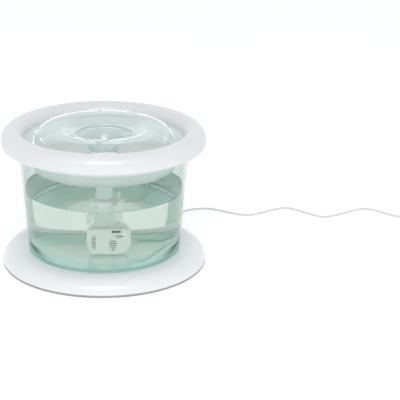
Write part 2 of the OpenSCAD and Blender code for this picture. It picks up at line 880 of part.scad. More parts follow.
// Route inside the tank: from the pump, along the floor and up the wall to the rim notch
inner_route = concat(
    [for (p = [[0, 0, 0], [4.5, 0.3, -0.1], [10.5, 3, -1.5], [16, 10, -4.5], [20.5, 20, -7.6]])
        gland_tip + p],
    [floor_turn - [2.2, 21.5, 4.2], floor_turn - [0.7, 9.5, 4.2], floor_turn],
    [for (part = [0.14, 0.29, 0.48, 0.67, 0.83, 0.91])
        let (z = floor_z + part * (lead_z - floor_z))
            on_turn(min(tank_r(z) - tank_wall - 3.2, climb_r), z)],
    [for (p = [[0.07, -4.9], [0.29, -2.3], [0.62, -0.6], [1, 0]])
        on_turn(climb_r + p[0] * (notch_in_r - climb_r), lead_z + p[1])]);

// Route outside: down behind the tank, and along the floor in loose waves
outer_route = concat(
    [for (p = [[0, 0], [5.6, -0.8], [10.8, -6], [12.8, -16.5]])
        on_turn(notch_out_r + p[0], lead_z + p[1])],
    [[79.4, 94.6, 102], [80.2, 95.6, 80], [81.3, 96.9, 58], [83.4, 99.4, 38], [87.2, 103.9, 20],
     [92.8, 110.6, 8], [98.5, 119, 2.4], [103, 134, 1.5], [107, 152, 1.5], [115, 168, 1.5],
     [132, 176, 1.5], [152, 176, 1.5], [172, 164, 1.5], [190, 153, 1.5], [208, 150.5, 1.5],
     [226, 160, 1.5], [245, 172, 1.5], [263, 177, 1.5], [279, 166, 1.5], [295, 149, 1.5],
     [311, 140, 1.5], [330, 147, 1.5], [351, 161, 1.5], [373, 171, 1.5], [391, 163, 1.5],
     [407, 146, 1.5], [421, 138.5, 1.5], [442, 139, 2.2]]);

// Route from the top of the coil over the incoming lead to the adapter
tail_route = [
    [434, 145.3, 9.8], [434.1, 139.5, 7.2], [434.8, 133.5, 4], [436.2, 127.5, 1.8],
    [438.7, 121.8, 1.9], [441.4, 117, 3.8], [443.1, 113.5, 5.4], [443.5, 110, 6]
];

// Points of a smooth curve through p, with n steps between one point and the next
function smooth(p, n) =
    concat(
        [for (i = [0:len(p) - 2], k = [0:n - 1])
            let (a = p[max(i - 1, 0)], b = p[i], c = p[i + 1], d = p[min(i + 2, len(p) - 1)],
                 t = k / n)
                0.5 * (2 * b + (c - a) * t + (2 * a - 5 * b + 4 * c - d) * t * t
                       + (3 * b - a - 3 * c + d) * t * t * t)],
        [p[len(p) - 1]]);

function unit(v) = v / norm(v);

// Sideways directions along a path, each carried on from the one before so that none twists
function sides(tangents, i = 0, made = []) =
    i == len(tangents) ? made :
    let (last = i == 0 ? (abs(tangents[0][2]) > 0.9 ? [1, 0, 0] : [0, 0, 1]) : made[i - 1],
         t = tangents[i])
        sides(tangents, i + 1, concat(made, [unit(last - (last * t) * t)]));

// A round tube of radius r swept along a path
module tube(path, r, facets = 8) {
    count = len(path);
    tangents = [for (i = [0:count - 1])
        unit(path[min(i + 1, count - 1)] - path[max(i - 1, 0)])];
    across = sides(tangents);
    rings = [for (i = [0:count - 1], k = [0:facets - 1])
        let (a = 360 * k / facets)
            path[i] + r * (cos(a) * across[i] + sin(a) * cross(tangents[i], across[i]))];
    walls = [for (i = [0:count - 2], k = [0:facets - 1])
        let (a = i * facets + k, b = i * facets + (k + 1) % facets)
            [a, b, b + facets, a + facets]];
    first = [for (k = [facets - 1:-1:0]) k];
    last = [for (k = [0:facets - 1]) (count - 1) * facets + k];
    polyhedron(points = rings, faces = concat([first], walls, [last]));
}

module lead_inner() {
    color("gainsboro") tube(inner_route, lead_r);
}

module lead_run() {
    color("gainsboro") tube(smooth(outer_route, 2), lead_r);
}

module lead_tail() {
    color("gainsboro") tube(tail_route, lead_r);
}

// Coil of the spare lead, three turns wide and four high, lifted by the tie under it
coil_at = [450, 157.8];
coil_pitch = 2 * lead_r + 0.1;
tie_t = 0.8;
coil_in = coil_r - 1.5 * coil_pitch;
coil_out = coil_r + 1.5 * coil_pitch;
coil_h = 4 * coil_pitch;

module lead_coil() {
    color("gainsboro")
    translate([coil_at[0], coil_at[1], tie_t])
        rotate_extrude() translate([coil_in, 0]) square([coil_out - coil_in, coil_h]);
}

module coil_tie() {
    tie_w = 5;
    color("dimgray")
    translate([coil_at[0], coil_at[1] - tie_w / 2, 0])
        difference() {
            translate([coil_in - tie_t - 0.3, 0, 0])
                cube([coil_out - coil_in + 2 * tie_t + 0.4, tie_w, coil_h + 2 * tie_t]);
            translate([coil_in - 0.3, -cut, tie_t])
                cube([coil_out - coil_in + 0.4, tie_w + 2 * cut, coil_h]);
        }
}

// Mains adapter lying on its side, its pins pointing away from the fountain
adapter_x = 430;
adapter_y = 38;
relief_l = 10;
pin_r = 2;
pin_l = 19;
pin_gap = 18.6;
// Slimmer root of a pin, which starts inside the housing
root_r = pin_r - 0.3;
root_in = 6;
root_out = 0.5;
pin_set = 20;
pin_y = adapter_y + pin_set;

module adapter_housing() {
    corner = 5;
    shoulder = 3;
    color("whitesmoke")
    difference() {
        union() {
            translate([adapter_x, adapter_y, 0])
                adapter_block(0, adapter_d - shoulder, corner, 0);
            translate([adapter_x, adapter_y, 0])
                adapter_block(adapter_d - shoulder, adapter_d, corner, 1.6);
        }
        for (z = [-1, 1])
            translate([0, pin_y, adapter_w / 2 + z * pin_gap / 2])
                rod_x(root_r, adapter_x + adapter_d - root_in, adapter_x + adapter_d + cut);
    }
}

// A slab of the adapter from x0 to x1, with rounded corners and its outline drawn in by inset
module adapter_block(x0, x1, corner, inset) {
    r = corner - inset;
    ends = [inset + r, adapter_l - inset - r];
    tops = [inset + r, adapter_w - inset - r];
    translate([x0, 0, 0])
        rotate([90, 0, 90])
            linear_extrude(x1 - x0)
                polygon(concat(
                    arc([ends[1], tops[1]], r, r, 0, 90, 6),
                    arc([ends[0], tops[1]], r, r, 90, 180, 6),
                    arc([ends[0], tops[0]], r, r, 180, 270, 6),
                    arc([ends[1], tops[0]], r, r, 270, 360, 6)));
}

module adapter_pins() {
    color("silver")
    for (z = [-1, 1])
        translate([0, pin_y, adapter_w / 2 + z * pin_gap / 2]) {
            x0 = adapter_x + adapter_d;
            x1 = x0 + pin_l;
            rod_x(root_r, x0 - root_in, x0 + root_out);
            rod_x(pin_r, x0 + root_out, x1 - 1);
            translate([x1 - 1, 0, 0])
                rotate([0, 90, 0]) cylinder(r1 = pin_r, r2 = pin_r - 0.8, h = 1);
        }
}

module adapter_relief() {
    color("whitesmoke")
    translate([adapter_x + adapter_d / 2, adapter_y + adapter_l, 6])
        rotate([-90, 0, 0]) cylinder(r1 = 3.6, r2 = lead_r + 0.5, h = relief_l);
}

base_ring();
grip_ring();
reservoir();
ring_upper();
ring_lower();
rim_seal();
bowl_tray();
filter_pan();
charcoal_pad();
fleece_pad();
return_duct();
riser_tube();
riser_seal();
jet();
dome();
spout_cup();
pump_housing();
intake_cover();
intake_foam();
volute_plate();
front_bush();
rear_bush();
pump_shaft();
impeller();
rotor_magnet();
flow_slider();
suction_cups();
pump_gland();
rim_grommet();
lead_inner();
lead_run();
lead_coil();
coil_tie();
lead_tail();
adapter_relief();
adapter_housing();
adapter_pins();
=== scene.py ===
import math
import bpy
import bmesh
from mathutils import Matrix, Vector


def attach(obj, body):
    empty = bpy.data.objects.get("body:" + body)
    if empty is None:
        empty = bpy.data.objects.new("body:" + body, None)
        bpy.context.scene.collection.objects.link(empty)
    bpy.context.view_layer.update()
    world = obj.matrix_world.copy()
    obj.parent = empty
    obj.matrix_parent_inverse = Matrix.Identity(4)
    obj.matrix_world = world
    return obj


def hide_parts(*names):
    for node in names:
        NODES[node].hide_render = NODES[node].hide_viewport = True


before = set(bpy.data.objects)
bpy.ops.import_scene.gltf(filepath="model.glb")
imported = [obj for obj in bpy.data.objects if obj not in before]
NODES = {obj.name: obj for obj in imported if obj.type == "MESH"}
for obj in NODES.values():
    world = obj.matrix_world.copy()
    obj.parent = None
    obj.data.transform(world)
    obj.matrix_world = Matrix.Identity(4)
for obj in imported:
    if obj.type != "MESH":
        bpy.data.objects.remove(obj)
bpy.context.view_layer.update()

# Lengths are in millimetres where a line multiplies them by MM, and otherwise in metres
MM = 0.001

# The tank's inside and the water in it, in millimetres, as the solids have them
TANK_FOOT_R = 97.3
TANK_RIM_R = 108.4
TANK_SEAT_Z = 16
TANK_H = 134
TANK_WALL = 2.4
TANK_FLOOR_Z = 21.2
FLOOR_FILLET = 3.0
WATER_Z = 100.0

# ---------------------------------------------------------------- camera

# How far the camera stands up from the level and turns to the right, how far it looks up from
# the point that it stands round, and how far it is rolled
PITCH, YAW, DROP, ROLL = (math.radians(a) for a in (20.0454, 4.2155, 0.0839, 1.0491))
CAMERA_REACH = 1786.538
STANDS_ROUND_Z = 78
FOCAL_PX = 1380.3923
PICTURE_PX = 400
SENSOR = 36


def make_camera():
    reach = CAMERA_REACH * MM
    eye = Vector((0, -reach * math.cos(PITCH), STANDS_ROUND_Z * MM + reach * math.sin(PITCH)))
    tilt = PITCH - DROP
    ahead = Vector((math.sin(YAW) * math.cos(tilt), math.cos(YAW) * math.cos(tilt), -math.sin(tilt)))
    right = ahead.cross(Vector((0, 0, 1))).normalized()
    up = right.cross(ahead)
    c, s = math.cos(ROLL), math.sin(ROLL)
    right, up = c * right + s * up, -s * right + c * up
    data = bpy.data.cameras.new("camera")
    data.sensor_width = SENSOR
    data.lens = SENSOR * FOCAL_PX / PICTURE_PX
    data.clip_start = 0.05
    data.clip_end = 60
    cam = bpy.data.objects.new("camera", data)
    bpy.context.scene.collection.objects.link(cam)
    m = Matrix((right, up, -ahead)).transposed().to_4x4()
    m.translation = eye
    cam.matrix_world = m
    bpy.context.scene.camera = cam


make_camera()

# ---------------------------------------------------------------- shader nodes

# Most of a noise's values lie between these two
NOISE_LOW, NOISE_HIGH = 0.3, 0.7


def new_material(name):
    """A material with a Principled shader on its surface."""
    m = bpy.data.materials.new(name)
    m.use_nodes = True
    nt = m.node_tree
    nt.nodes.clear()
    out = nt.nodes.new("ShaderNodeOutputMaterial")
    bsdf = nt.nodes.new("ShaderNodeBsdfPrincipled")
    nt.links.new(bsdf.outputs[0], out.inputs["Surface"])
    return m, nt, bsdf, out


def feed(nt, socket, value):
    """Gives a socket a constant, or another node's output."""
    if isinstance(value, bpy.types.NodeSocket):
        nt.links.new(value, socket)
    else:
        socket.default_value = value


def maths(nt, operation, *values):
    n = nt.nodes.new("ShaderNodeMath")
    n.operation = operation
    for socket, value in zip(n.inputs, values):
        feed(nt, socket, value)
    return n.outputs[0]


def remap(nt, value, from_min, from_max, to_min, to_max):
    """value, as it goes between the first two bounds, moved to between the last two."""
    n = nt.nodes.new("ShaderNodeMapRange")
    nt.links.new(value, n.inputs["Value"])
    n.inputs["From Min"].default_value = from_min
    n.inputs["From Max"].default_value = from_max
    n.inputs["To Min"].default_value = to_min
    n.inputs["To Max"].default_value = to_max
    return n.outputs[0]


def place(nt, space="Object"):
    return nt.nodes.new("ShaderNodeTexCoord").outputs[space]


def split_axes(nt, vector):
    n = nt.nodes.new("ShaderNodeSeparateXYZ")
    nt.links.new(vector, n.inputs[0])
    return n.outputs["X"], n.outputs["Y"], n.outputs["Z"]


def scatter(nt, kind, colour):
    """A shader that needs no more than its colour."""
    n = nt.nodes.new(kind)
    feed(nt, n.inputs["Color"], colour)
    return n.outputs[0]


def mixed(nt, share, a, b):
    """Shader a, with a share of shader b in it."""
    n = nt.nodes.new("ShaderNodeMixShader")
    feed(nt, n.inputs[0], share)
    nt.links.new(a, n.inputs[1])
    nt.links.new(b, n.inputs[2])
    return n.outputs[0]


def noise(nt, scale, detail=3.0, rough=0.55, stretch=None):
    """Noise in the piece's own space, with its scale along each axis times stretch."""
    tex = nt.nodes.new("ShaderNodeTexNoise")
    tex.inputs["Scale"].default_value = scale
    tex.inputs["Detail"].default_value = detail
    tex.inputs["Roughness"].default_value = rough
    where = place(nt)
    if stretch:
        mapping = nt.nodes.new("ShaderNodeMapping")
        mapping.inputs["Scale"].default_value = stretch
        nt.links.new(where, mapping.inputs["Vector"])
        where = mapping.outputs[0]
    nt.links.new(where, tex.inputs["Vector"])
    return tex.outputs["Fac"]


def spread(nt, fac, low, high):
    """A noise, spread from low to high."""
    return remap(nt, fac, NOISE_LOW, NOISE_HIGH, low, high)


def tone(nt, fac, a, b):
    """The colour from a to b that a noise picks."""
    ramp = nt.nodes.new("ShaderNodeValToRGB")
    low, high = ramp.color_ramp.elements
    low.position, low.color = NOISE_LOW, (*a, 1)
    high.position, high.color = NOISE_HIGH, (*b, 1)
    nt.links.new(fac, ramp.inputs[0])
    return ramp.outputs[0]


def bump(nt, bsdf, fac, distance, strength=1.0, below=None):
    """Raises the surface by a noise, over the bump below it if there is one."""
    b = nt.nodes.new("ShaderNodeBump")
    b.inputs["Strength"].default_value = strength
    b.inputs["Distance"].default_value = distance
    nt.links.new(fac, b.inputs["Height"])
    if below is not None:
        nt.links.new(below, b.inputs["Normal"])
    nt.links.new(b.outputs[0], bsdf.inputs["Normal"])
    return b.outputs[0]


# ---------------------------------------------------------------- kinds of material

PLASTIC_INDEX = 1.5
COAT_ROUGHNESS = 0.06
WET_COAT_ROUGHNESS = 0.02
# How far light goes under a soft skin
SKIN_DEPTH = 0.004
# Depths of the shallow sinks in a moulding, of the waves in a clear one, and of marks on metal
SINK_DEPTH = 0.0002
WAVE_DEPTH = 0.0004
MARK_DEPTH = 0.00003


def moulded(name, a, b, rough, grain=0.0, coat=0.0, flow=25, sub=0.0):
    """Moulded plastic: faint flow in its colour and gloss, and a fine surface. grain is the
    depth of its spark texture, coat its gloss, and sub how much light goes under its skin."""
    m, nt, p, _ = new_material(name)
    nt.links.new(tone(nt, noise(nt, flow, 4, 0.6), a, b), p.inputs["Base Color"])
    nt.links.new(spread(nt, noise(nt, flow * 3), *rough), p.inputs["Roughness"])
    p.inputs["IOR"].default_value = PLASTIC_INDEX
    p.inputs["Coat Weight"].default_value = coat
    p.inputs["Coat Roughness"].default_value = COAT_ROUGHNESS
    if sub:
        p.inputs["Subsurface Weight"].default_value = sub
        p.inputs["Subsurface Radius"].default_value = (SKIN_DEPTH, SKIN_DEPTH, SKIN_DEPTH)
        p.inputs["Subsurface Scale"].default_value = 0.6
    sink = bump(nt, p, noise(nt, 14, 2), SINK_DEPTH, 0.35)
    if grain:
        bump(nt, p, noise(nt, 900, 2, 0.5), grain, 0.8, below=sink)
    return m


def fleecy(name, a, b, scale, depth):
    """Matted fibre, such as a filter pad or foam."""
    m, nt, p, _ = new_material(name)
    nt.links.new(tone(nt, noise(nt, scale, 6, 0.7), a, b), p.inputs["Base Color"])
    p.inputs["Roughness"].default_value = 0.95
    p.inputs["Sheen Weight"].default_value = 0.3
    bump(nt, p, noise(nt, scale * 2, 5, 0.7), depth, 0.9)
    return m


def metal(name, a, b, rough):
    """Metal with fine marks that run along X."""
    m, nt, p, _ = new_material(name)
    nt.links.new(tone(nt, noise(nt, 80), a, b), p.inputs["Base Color"])
    p.inputs["Metallic"].default_value = 1.0
    nt.links.new(spread(nt, noise(nt, 300, 3, 0.6, (0.1, 1, 1)), *rough), p.inputs["Roughness"])
    bump(nt, p, noise(nt, 1400, 2, 0.6, (0.08, 1, 1)), MARK_DEPTH, 0.5)
    return m


# Half the height over which the index changes at the water line
WATER_LINE_SOFT = 0.1
# The radius at the end of a ramp of zones, and half the width of an edge as a share of it
ZONES_REACH = 100
ZONE_EDGE = 0.006


def by_height(nt, z0, z1, v0, v1):
    """v0 up to the height z0, and v1 from the height z1."""
    z = split_axes(nt, place(nt))[2]
    return remap(nt, z, z0 * MM, z1 * MM, v0, v1)


def by_radius(nt, middle, shade_rounds):
    """The colour in the middle, and from each radius in the rounds the colour that it has there:
    painted light in the middle and painted shade in the darker rounds.
    """
    flat = nt.nodes.new("ShaderNodeVectorMath")
    flat.operation = "MULTIPLY"
    flat.inputs[1].default_value = (1 / (ZONES_REACH * MM), 1 / (ZONES_REACH * MM), 0)
    nt.links.new(place(nt), flat.inputs[0])
    radius = nt.nodes.new("ShaderNodeVectorMath")
    radius.operation = "LENGTH"
    nt.links.new(flat.outputs[0], radius.inputs[0])
    zones = nt.nodes.new("ShaderNodeValToRGB")
    nt.links.new(radius.outputs["Value"], zones.inputs[0])
    stops = zones.color_ramp.elements
    stops[0].color = (*middle, 1)
    stops[1].color = (*shade_rounds[-1][1], 1)
    before = middle
    for r, colour in shade_rounds:
        stops.new(r / ZONES_REACH - ZONE_EDGE).color = (*before, 1)
        stops.new(r / ZONES_REACH + ZONE_EDGE).color = (*colour, 1)
        before = colour
    return zones.outputs[0]


def clear(name, a, b, ior, rough=(0.0, 0.02), wave=0.25, shade=(0.9, 0.95, 0.93), milk=0.0,
          milky=(0.82, 0.87, 0.86), gloss=0.0, wet_ior=None, dye=None, shade_rounds=(), leak=0.5):
    """Clear plastic or water.

    Light from the lamps, and light between the pieces, passes through it, tinted by shade.
    milk is how much of it scatters light, as one share, or as two heights and their shares.
    milky is the colour that scatters, and leak the part of that light that comes out behind.
    The rounds are zones round the axis, each the radius where it starts and its milky colour; these
    colours are painted light and shade.
    Heights and radii are in millimetres.
    gloss is a coat over it, and wave how much its surface waves.
    wet_ior is its index under the water line.
    dye is the colour that deepens with the way through it, and how strong it is."""
    m, nt, p, out = new_material(name)
    nt.links.new(tone(nt, noise(nt, 18, 3, 0.5, (1, 1, 2.4)), a, b), p.inputs["Base Color"])
    nt.links.new(spread(nt, noise(nt, 60), *rough), p.inputs["Roughness"])
    p.inputs["Transmission Weight"].default_value = 1.0
    p.inputs["Coat Weight"].default_value = gloss
    p.inputs["Coat Roughness"].default_value = WET_COAT_ROUGHNESS
    p.inputs["IOR"].default_value = ior
    if wet_ior:
        line = by_height(nt, WATER_Z - WATER_LINE_SOFT, WATER_Z + WATER_LINE_SOFT, wet_ior, ior)
        nt.links.new(line, p.inputs["IOR"])
    if wave:
        bump(nt, p, noise(nt, 11, 2, 0.5, (1, 1, 0.6)), WAVE_DEPTH, wave)
    body = p.outputs[0]
    if milk:
        # The rounds paint light and shade into the milky colour
        colour = by_radius(nt, milky, shade_rounds) if shade_rounds else (*milky, 1)
        haze = mixed(nt, leak, scatter(nt, "ShaderNodeBsdfDiffuse", colour),
                     scatter(nt, "ShaderNodeBsdfTranslucent", colour))
        body = mixed(nt, by_height(nt, *milk) if isinstance(milk, tuple) else milk, body, haze)
    path = nt.nodes.new("ShaderNodeLightPath")
    lighting = maths(nt, "MAXIMUM", path.outputs["Is Shadow Ray"], path.outputs["Is Diffuse Ray"])
    veil = scatter(nt, "ShaderNodeBsdfTransparent", (*shade, 1))
    nt.links.new(mixed(nt, lighting, body, veil), out.inputs["Surface"])
    if dye:
        tint = nt.nodes.new("ShaderNodeVolumeAbsorption")
        tint.inputs["Color"].default_value = (*dye[:3], 1)
        tint.inputs["Density"].default_value = dye[3]
        nt.links.new(tint.outputs[0], out.inputs["Volume"])
    return m


# ---------------------------------------------------------------- materials

MAT = {
    "white": moulded("white_gloss", (0.72, 0.74, 0.75), (0.745, 0.765, 0.775), (0.3, 0.38),
                     coat=0.3),
    # The base is the same white plastic as the ring, painted lighter: painted light, to make up for
    # the shade that the ring and tank cast on it
    "base": moulded("lit_white_base", (0.80, 0.815, 0.82), (0.82, 0.835, 0.84), (0.3, 0.38),
                    coat=0.3),
    "grip": moulded("grip_grey", (0.30, 0.31, 0.31), (0.35, 0.36, 0.36), (0.5, 0.65),
                    grain=0.00006),
    # The tank's floor is frosted. Its frost's colour is painted light and shade: painted light in
    # the round under the pump, and painted shade in darker teal rounds from 54 and 88.5 mm out,
    # where the base's ledge lies in shade beneath the floor
    "tank": clear("clear_teal", (0.90, 0.91, 0.90), (0.915, 0.925, 0.915), 1.49, wave=0.1,
                  shade=(1, 1, 1), milk=(20.6, 21.3, 0.5, 0.0), milky=(1.0, 1.0, 0.98), leak=0.3,
                  shade_rounds=((54, (0.74, 0.99, 0.98)), (88.5, (0.58, 0.78, 0.80))),
                  dye=(0.15, 0.66, 0.48, 33)),
    "grey": clear("clear_grey", (0.96, 0.975, 0.97), (0.97, 0.985, 0.98), 1.49, wave=0.15,
                  shade=(0.97, 0.985, 0.98), milk=0.55, milky=(0.96, 0.975, 0.96), leak=0.4),
    # The dome scatters more at its crown, and the cup more at its foot
    "dome": clear("clear_dome", (0.92, 0.95, 0.945), (0.935, 0.96, 0.955), 1.12, wave=0.0,
                  shade=(0.96, 0.975, 0.97), milk=(177.5, 179.7, 0.04, 0.2),
                  milky=(0.84, 0.88, 0.91), gloss=0.85),
    "cup": clear("clear_cup", (0.90, 0.94, 0.945), (0.92, 0.955, 0.955), 1.05, wave=0.0,
                 shade=(0.96, 0.975, 0.97), milk=(156, 166, 0.55, 0.25),
                 milky=(0.66, 0.76, 0.77), gloss=0.8),
    "tray": clear("clear_tray", (0.96, 0.975, 0.97), (0.97, 0.985, 0.98), 1.4, wave=0.15,
                  shade=(0.97, 0.985, 0.98), milk=0.85, milky=(0.97, 0.985, 0.98), leak=0.1),
    "duct": clear("clear_duct", (0.89, 0.94, 0.92), (0.91, 0.955, 0.935), 1.3, wave=0.2,
                  shade=(0.98, 1.0, 0.99), milk=0.08, milky=(0.92, 0.98, 0.97), wet_ior=1.118),
    "riser": clear("clear_riser", (0.90, 0.95, 0.98), (0.92, 0.96, 0.985), 1.3, wave=0.1,
                   shade=(0.98, 0.99, 1.0), milk=0.9, milky=(0.98, 0.99, 1.0), leak=0.05,
                   wet_ior=1.118),
    "water": clear("water", (0.985, 0.995, 0.99), (0.99, 0.997, 0.993), 1.333, rough=(0, 0),
                   wave=0.0, shade=(0.995, 1.0, 0.995), dye=(0.36, 0.68, 0.3, 0.4)),
    "seal": moulded("seal_silicone", (0.70, 0.73, 0.72), (0.75, 0.77, 0.76), (0.35, 0.5),
                    sub=0.2),
    "charcoal": fleecy("charcoal_cover", (0.50, 0.54, 0.53), (0.60, 0.63, 0.62), 600, 0.0006),
    "fleece": fleecy("wet_fleece", (0.66, 0.69, 0.67), (0.76, 0.79, 0.77), 380, 0.0009),
    "foam": fleecy("intake_foam", (0.20, 0.24, 0.25), (0.32, 0.36, 0.37), 700, 0.0008),
    "rubber": moulded("black_rubber", (0.02, 0.02, 0.021), (0.035, 0.035, 0.036), (0.5, 0.7),
                      grain=0.00005),
    "pump": moulded("pump_satin", (0.965, 0.96, 0.955), (0.98, 0.975, 0.97), (0.34, 0.46),
                    grain=0.00004),
    "ceramic": moulded("ceramic", (0.86, 0.85, 0.82), (0.9, 0.89, 0.87), (0.08, 0.14)),
    "blue": moulded("impeller_blue", (0.13, 0.30, 0.50), (0.17, 0.35, 0.55), (0.35, 0.45)),
    "magnet": moulded("ferrite", (0.05, 0.05, 0.055), (0.09, 0.09, 0.095), (0.35, 0.5),
                      grain=0.00006),
    "slider": moulded("slider_grey", (0.50, 0.54, 0.54), (0.56, 0.6, 0.6), (0.3, 0.4)),
    "lead": moulded("lead_sheath", (0.66, 0.68, 0.68), (0.72, 0.74, 0.74), (0.32, 0.45), flow=60),
    # The lead's sheath inside the tank: the same sheath as outside, painted darker and tealer as
    # painted shade of the tank's inside
    "shaded_lead": moulded("shaded_lead_sheath", (0.36, 0.49, 0.45), (0.41, 0.54, 0.50), (0.5, 0.6),
                        flow=60),
    "adapter": moulded("adapter_shell", (0.76, 0.77, 0.77), (0.80, 0.81, 0.81), (0.42, 0.55),
                       grain=0.0001),
    "pins": metal("plated_pins", (0.62, 0.60, 0.55), (0.72, 0.70, 0.65), (0.22, 0.38)),
}

# What each CAD node that shows is made of
WEAR = {
    "base_ring": "base", "grip_ring": "grip", "reservoir": "tank", "ring_upper": "white",
    "ring_lower": "white", "rim_seal": "seal", "bowl_tray": "tray", "filter_pan": "grey",
    "charcoal_pad": "charcoal", "fleece_pad": "fleece", "return_duct": "duct",
    "riser_tube": "riser", "riser_seal": "rubber", "jet": "pump", "dome": "dome",
    "spout_cup": "cup", "pump_housing": "pump", "intake_cover": "pump", "intake_foam": "foam",
    "volute_plate": "pump", "front_bush": "rubber", "rear_bush": "rubber",
    "pump_shaft": "ceramic", "impeller": "blue", "rotor_magnet": "magnet",
    "flow_slider": "slider", "suction_cups": "seal", "pump_gland": "lead",
    "rim_grommet": "seal", "coil_tie": "rubber", "adapter_relief": "adapter",
    "adapter_housing": "adapter", "adapter_pins": "pins",
}

# Faces that meet at less than this angle are shaded as one surface
NODE_SMOOTH = 32
WATER_SMOOTH = 50
# Points of a CAD mesh that lie closer than this are one
WELD_GAP = 0.004


def split_edges(o, angle):
    split = o.modifiers.new("split", "EDGE_SPLIT")
    split.split_angle = math.radians(angle)
    return split


def dress(name, mat):
    """Gives a CAD node its material, and smooth shading between its exact faces."""
    o = NODES[name]
    if not o.material_slots:
        o.data.materials.append(MAT[mat])
    for slot in o.material_slots:
        slot.material = MAT[mat]
    me = o.data
    if "custom_normal" in me.attributes:
        me.attributes.remove(me.attributes["custom_normal"])
    me.polygons.foreach_set("use_smooth", [True] * len(me.polygons))
    weld = o.modifiers.new("weld", "WELD")
    weld.merge_threshold = WELD_GAP * MM
    split_edges(o, NODE_SMOOTH).use_edge_sharp = False


for node, mat in WEAR.items():
    dress(node, mat)

# ---------------------------------------------------------------- pieces


def add_piece(name, mesh, mat, body):
    o = bpy.data.objects.new(name, mesh)
    bpy.context.scene.collection.objects.link(o)
    mesh.materials.append(MAT[mat])
    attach(o, body)
    return o


def mesh_from(bm, name):
    me = bpy.data.meshes.new(name)
    bm.to_mesh(me)
    bm.free()
    return me


def around(steps):
    """The angles of that many equal steps of a turn."""
    return [2 * math.pi * k / steps for k in range(steps)]


# ---------------------------------------------------------------- lead

LEAD_R = 1.4
LEAD_SIDES = 12
# Steps of the curve between one chosen point and the next
CURVE_STEPS = 4

# The route, as the lead's solids have it: in the tank, from the rim to the coil, and from the
# coil to the adapter
INNER = [
    (30.5, 4, 34.3), (35, 4.3, 34.2), (41, 7, 32.8), (46.5, 14, 29.8), (51, 24, 26.7),
    (55.35, 47.09, 24.3), (56.85, 59.09, 24.3), (57.55, 68.59, 28.5), (60.10, 71.63, 37.76),
    (61.05, 72.75, 55.51), (61.32, 73.08, 77.98), (61.32, 73.08, 100.46), (61.32, 73.08, 119.39),
    (61.32, 73.08, 128.85), (61.67, 73.50, 134.6), (62.77, 74.81, 137.2), (64.42, 76.78, 138.9),
    (66.32, 79.04, 139.5),
]
OUTER = [
    (70.37, 83.86, 139.5), (73.97, 88.15, 138.7), (77.31, 92.14, 133.5), (78.6, 93.67, 123),
    (79.4, 94.6, 102), (80.2, 95.6, 80), (81.3, 96.9, 58), (83.4, 99.4, 38), (87.2, 103.9, 20),
    (92.8, 110.6, 8), (98.5, 119, 2.4), (103, 134, 1.5), (107, 152, 1.5), (115, 168, 1.5),
    (132, 176, 1.5), (152, 176, 1.5), (172, 164, 1.5), (190, 153, 1.5), (208, 150.5, 1.5),
    (226, 160, 1.5), (245, 172, 1.5), (263, 177, 1.5), (279, 166, 1.5), (295, 149, 1.5),
    (311, 140, 1.5), (330, 147, 1.5), (351, 161, 1.5), (373, 171, 1.5), (391, 163, 1.5),
    (407, 146, 1.5), (421, 138.5, 1.5), (436, 138.6, 1.9),
]
TAIL = [
    (434, 145.3, 9.8), (434.1, 139.5, 7.2), (434.8, 133.5, 4), (436.2, 127.5, 1.8),
    (438.7, 121.8, 1.9), (441.4, 117, 3.8), (443.1, 113.5, 5.4), (443.5, 110, 6),
]

# The coil: its middle, the radii and heights of its turns, and the parts of a turn, in
# degrees, over which the lead steps to the next radius or rises to the next layer
COIL_X, COIL_Y = 450, 157.8
COIL_OUT, COIL_MID, COIL_IN = 18.9, 16, 13.1
COIL_LOW_Z = 2.25
LAYER = 2.9
COIL_TURNS = 9
TURN_STEPS = 24
# Steps that the coil goes on for after its last whole turn
LAST_STEPS = 16
STEP_FROM, RISE_FROM, CHANGE = 290, 230, 60
# The radii before and after the step that ends each of these turns, and the turns that end
# with a rise
COIL_STEPS = {
    0: (COIL_OUT, COIL_MID), 1: (COIL_MID, COIL_IN), 3: (COIL_IN, COIL_MID),
    4: (COIL_MID, COIL_OUT), 6: (COIL_OUT, COIL_MID), 7: (COIL_MID, COIL_IN),
    8: (COIL_IN, COIL_MID),
}
COIL_RISES = (2, 5, 8)


def smooth_path(points, n):
    """A smooth curve through the points, n steps between one and the next."""
    out = []
    p = [Vector(q) for q in points]
    for i in range(len(p) - 1):
        a, b = p[max(i - 1, 0)], p[i]
        c, d = p[i + 1], p[min(i + 2, len(p) - 1)]
        for k in range(n):
            t = k / n
            out.append(0.5 * (2 * b + (c - a) * t + (2 * a - 5 * b + 4 * c - d) * t * t
                              + (3 * b - a - 3 * c + d) * t ** 3))
    out.append(p[-1])
    return out


def tube_mesh(name, path, radius):
    """A round tube swept along a path, with no twist, closed at its ends."""
    bm = bmesh.new()
    n = len(path)
    across = Vector((0, 0, 1))
    rings = []
    for i in range(n):
        t = (path[min(i + 1, n - 1)] - path[max(i - 1, 0)]).normalized()
        # Where the path runs almost along it, the ring's own direction is chosen anew
        if abs(across.dot(t)) > 0.98:
            across = Vector((1, 0, 0))
        across = (across - across.dot(t) * t).normalized()
        other = t.cross(across)
        rings.append([bm.verts.new(path[i] + radius * (math.cos(a) * across + math.sin(a) * other))
                      for a in around(LEAD_SIDES)])
    for r0, r1 in zip(rings, rings[1:]):
        for k in range(LEAD_SIDES):
            j = (k + 1) % LEAD_SIDES
            bm.faces.new((r0[k], r0[j], r1[j], r1[k]))
    bm.faces.new(list(reversed(rings[0])))
    bm.faces.new(rings[-1])
    bm.normal_update()
    me = mesh_from(bm, name)
    for f in me.polygons:
        f.use_smooth = len(f.vertices) == 4
    return me


def ease(t):
    t = min(max(t, 0.0), 1.0)
    return t * t * (3 - 2 * t)


